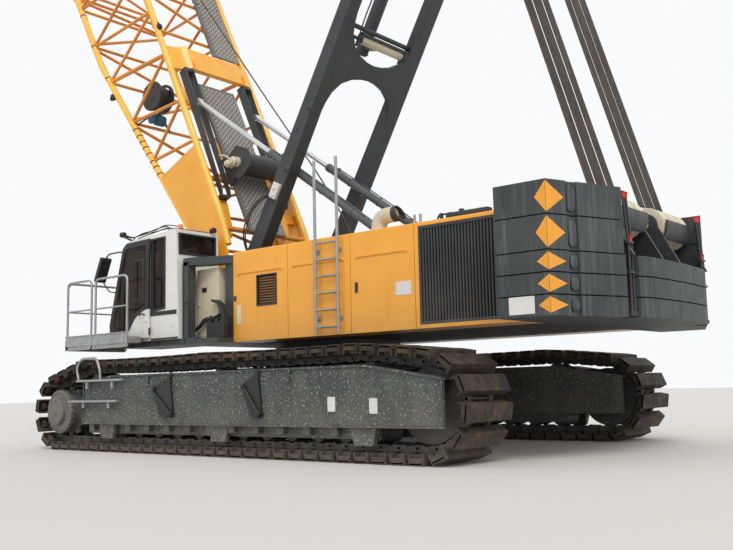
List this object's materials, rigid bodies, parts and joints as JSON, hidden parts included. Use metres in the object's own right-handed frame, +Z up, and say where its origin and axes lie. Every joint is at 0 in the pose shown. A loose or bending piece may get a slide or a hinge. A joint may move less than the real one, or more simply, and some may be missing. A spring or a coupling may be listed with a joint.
{
  "type": "crawler crane",
  "caption": "Crawler crane: twin tracks, slewing superstructure with cab and stacked counterweight, luffing lattice boom held by a two-legged mast and rope bundles, hanging hook.",
  "frame": {"origin": "on the ground under the slewing axis", "axes": "+X forward along the boom, +Y to the cab side, +Z up"},
  "size_m": [16.986, 6.06, 18.8851],
  "materials": {
    "frame_grey": "satin, dusty",
    "track_steel": "rough, dusty",
    "rail_steel": "satin",
    "deck_black": "satin",
    "body_yellow": "gloss",
    "grille_black": "matt",
    "cream": "satin",
    "galvanised": "matt",
    "weight_grey": "painted, rough",
    "cab_white": "gloss",
    "cab_glass": "tinted",
    "seat_black": "matt",
    "trim_black": "matt",
    "bracket_grey": "satin",
    "boom_yellow": "gloss",
    "mast_grey": "satin",
    "rod_chrome": "polished",
    "rope_steel": "greased",
    "hook_grey": "painted"
  },
  "bodies": {
    "undercarriage": {"carbody": "frame_grey", "track_frame_left": "frame_grey", "track_frame_right": "frame_grey", "track_left": "track_steel", "track_right": "track_steel", "final_drives": "frame_grey", "track_wheels": "frame_grey", "undercarriage_steps": "rail_steel"},
    "superstructure": {"slew_ring": "deck_black", "main_deck": "deck_black", "house_left": "body_yellow", "house_right": "body_yellow", "radiator_grilles": "grille_black", "exhaust": "cream", "deck_ladder": "galvanised", "counterweight_tray": "weight_grey", "counterweight_slabs": "weight_grey", "counterweight_blocks": "weight_grey", "rope_block_frame": "deck_black", "cab_bracket": "bracket_grey", "cab_shell": "cab_white", "cab_glass": "cab_glass", "cab_seat": "seat_black", "cab_platform": "galvanised", "cab_fittings": "trim_black"},
    "block_sheaves": {"rope_block_sheaves": "cream"},
    "front_drum": {"hoist_drum_front": "deck_black"},
    "rear_drum": {"hoist_drum_rear": "deck_black"},
    "luffing_winch_drum": {"luffing_drum": "deck_black"},
    "door": {"cab_door": "cab_white", "cab_door_glass": "cab_glass"},
    "boom": {"boom_foot": "boom_yellow", "boom_insert": "boom_yellow", "boom_head": "boom_yellow", "boom_walkway": "galvanised", "backstop_guides": "bracket_grey", "boom_winch_frame": "bracket_grey", "hose_reel": "deck_black", "pendants": "mast_grey"},
    "boom_drum": {"boom_winch_drum": "deck_black"},
    "top_sheaves": {"head_sheaves": "deck_black"},
    "mast_frame": {"mast": "mast_grey", "mast_ram": "mast_grey"},
    "mast_wheels": {"mast_sheaves": "cream"},
    "barrels": {"backstop_barrels": "mast_grey"},
    "rods": {"backstop_rods": "rod_chrome"},
    "ropes_lower": {"luffing_ropes_lower": "rope_steel"},
    "ropes_middle": {"luffing_ropes_middle": "rope_steel"},
    "ropes_upper": {"luffing_ropes_upper": "rope_steel"},
    "hook_block": {"hook_falls": "boom_yellow"},
    "hook_body": {"hook": "hook_grey"}
  },
  "joints": [
    {"name": "slew", "type": "hinge", "parent": "undercarriage", "child": "superstructure", "pos_m": [0, 0, 1.5], "axis": [0, 0, 1], "continuous": true},
    {"name": "boom_luff", "type": "hinge", "parent": "superstructure", "child": "boom", "pos_m": [1.45, 0, 2.45], "axis": [0, -1, 0], "range_deg": [-50, 21]},
    {"name": "mast_luff", "type": "hinge", "parent": "superstructure", "child": "mast_frame", "pos_m": [1.15, 0, 2.93], "axis": [0, -1, 0], "range_deg": [-53, 23]},
    {"name": "backstop_swing", "type": "hinge", "parent": "superstructure", "child": "barrels", "pos_m": [-1.62, 0, 3.323], "axis": [0, -1, 0], "range_deg": [-34, 15]},
    {"name": "backstop_slide", "type": "slide", "parent": "barrels", "child": "rods", "axis": [0.8174, 0, 0.5761], "range_m": [-0.34, 0.8]},
    {"name": "rope_swing", "type": "hinge", "parent": "superstructure", "child": "ropes_lower", "pos_m": [-5.42, 0, 3.05], "axis": [0, -1, 0], "range_deg": [-36, 16]},
    {"name": "rope_slide_middle", "type": "slide", "parent": "ropes_lower", "child": "ropes_middle", "axis": [0.2798, 0, 0.9601], "range_m": [-1.1, 2.6]},
    {"name": "rope_slide_upper", "type": "slide", "parent": "ropes_lower", "child": "ropes_upper", "axis": [0.2798, 0, 0.9601], "range_m": [-2.2, 5.2]},
    {"name": "hook_hang", "type": "hinge", "parent": "boom", "child": "hook_block", "pos_m": [10.19, 0, 18.2353], "axis": [0, -1, 0], "range_deg": [-22, 51]},
    {"name": "hook_swivel", "type": "hinge", "parent": "hook_block", "child": "hook_body", "pos_m": [10.646, 0, 15.2153], "axis": [0, 0, 1], "continuous": true},
    {"name": "cab_door_slide", "type": "slide", "parent": "superstructure", "child": "door", "axis": [-1, 0, 0], "range_m": [0, 0.62]},
    {"name": "hoist_drum_front_spin", "type": "hinge", "parent": "superstructure", "child": "front_drum", "pos_m": [-1.05, 0, 2.5], "axis": [0, 1, 0], "continuous": true},
    {"name": "hoist_drum_rear_spin", "type": "hinge", "parent": "superstructure", "child": "rear_drum", "pos_m": [-2.45, 0, 2.5], "axis": [0, 1, 0], "continuous": true},
    {"name": "luffing_drum_spin", "type": "hinge", "parent": "superstructure", "child": "luffing_winch_drum", "pos_m": [-3.8, 0, 2.42], "axis": [0, 1, 0], "continuous": true},
    {"name": "rope_block_spin", "type": "hinge", "parent": "superstructure", "child": "block_sheaves", "pos_m": [-5.42, 0, 3.05], "axis": [0, 1, 0], "continuous": true},
    {"name": "boom_winch_spin", "type": "hinge", "parent": "boom", "child": "boom_drum", "pos_m": [1.8389, 0, 5.0823], "axis": [0, 1, 0], "continuous": true},
    {"name": "head_sheaves_spin", "type": "hinge", "parent": "boom", "child": "top_sheaves", "pos_m": [10.19, 0, 18.2353], "axis": [0, 1, 0], "continuous": true},
    {"name": "mast_sheaves_spin", "type": "hinge", "parent": "mast_frame", "child": "mast_wheels", "pos_m": [-3.23, 0, 10.565], "axis": [0, 1, 0], "continuous": true}
  ],
  "couplings": [
    {"joint": "mast_luff", "follows": "boom_luff", "ratio": 1.05},
    {"joint": "backstop_swing", "follows": "boom_luff", "ratio": 0.66},
    {"joint": "backstop_slide", "follows": "boom_luff", "m_per_rad": -0.9},
    {"joint": "rope_swing", "follows": "boom_luff", "ratio": 0.7},
    {"joint": "rope_slide_middle", "follows": "boom_luff", "m_per_rad": -2.8},
    {"joint": "rope_slide_upper", "follows": "boom_luff", "m_per_rad": -5.6},
    {"joint": "hook_hang", "follows": "boom_luff", "ratio": -1}
  ]
}
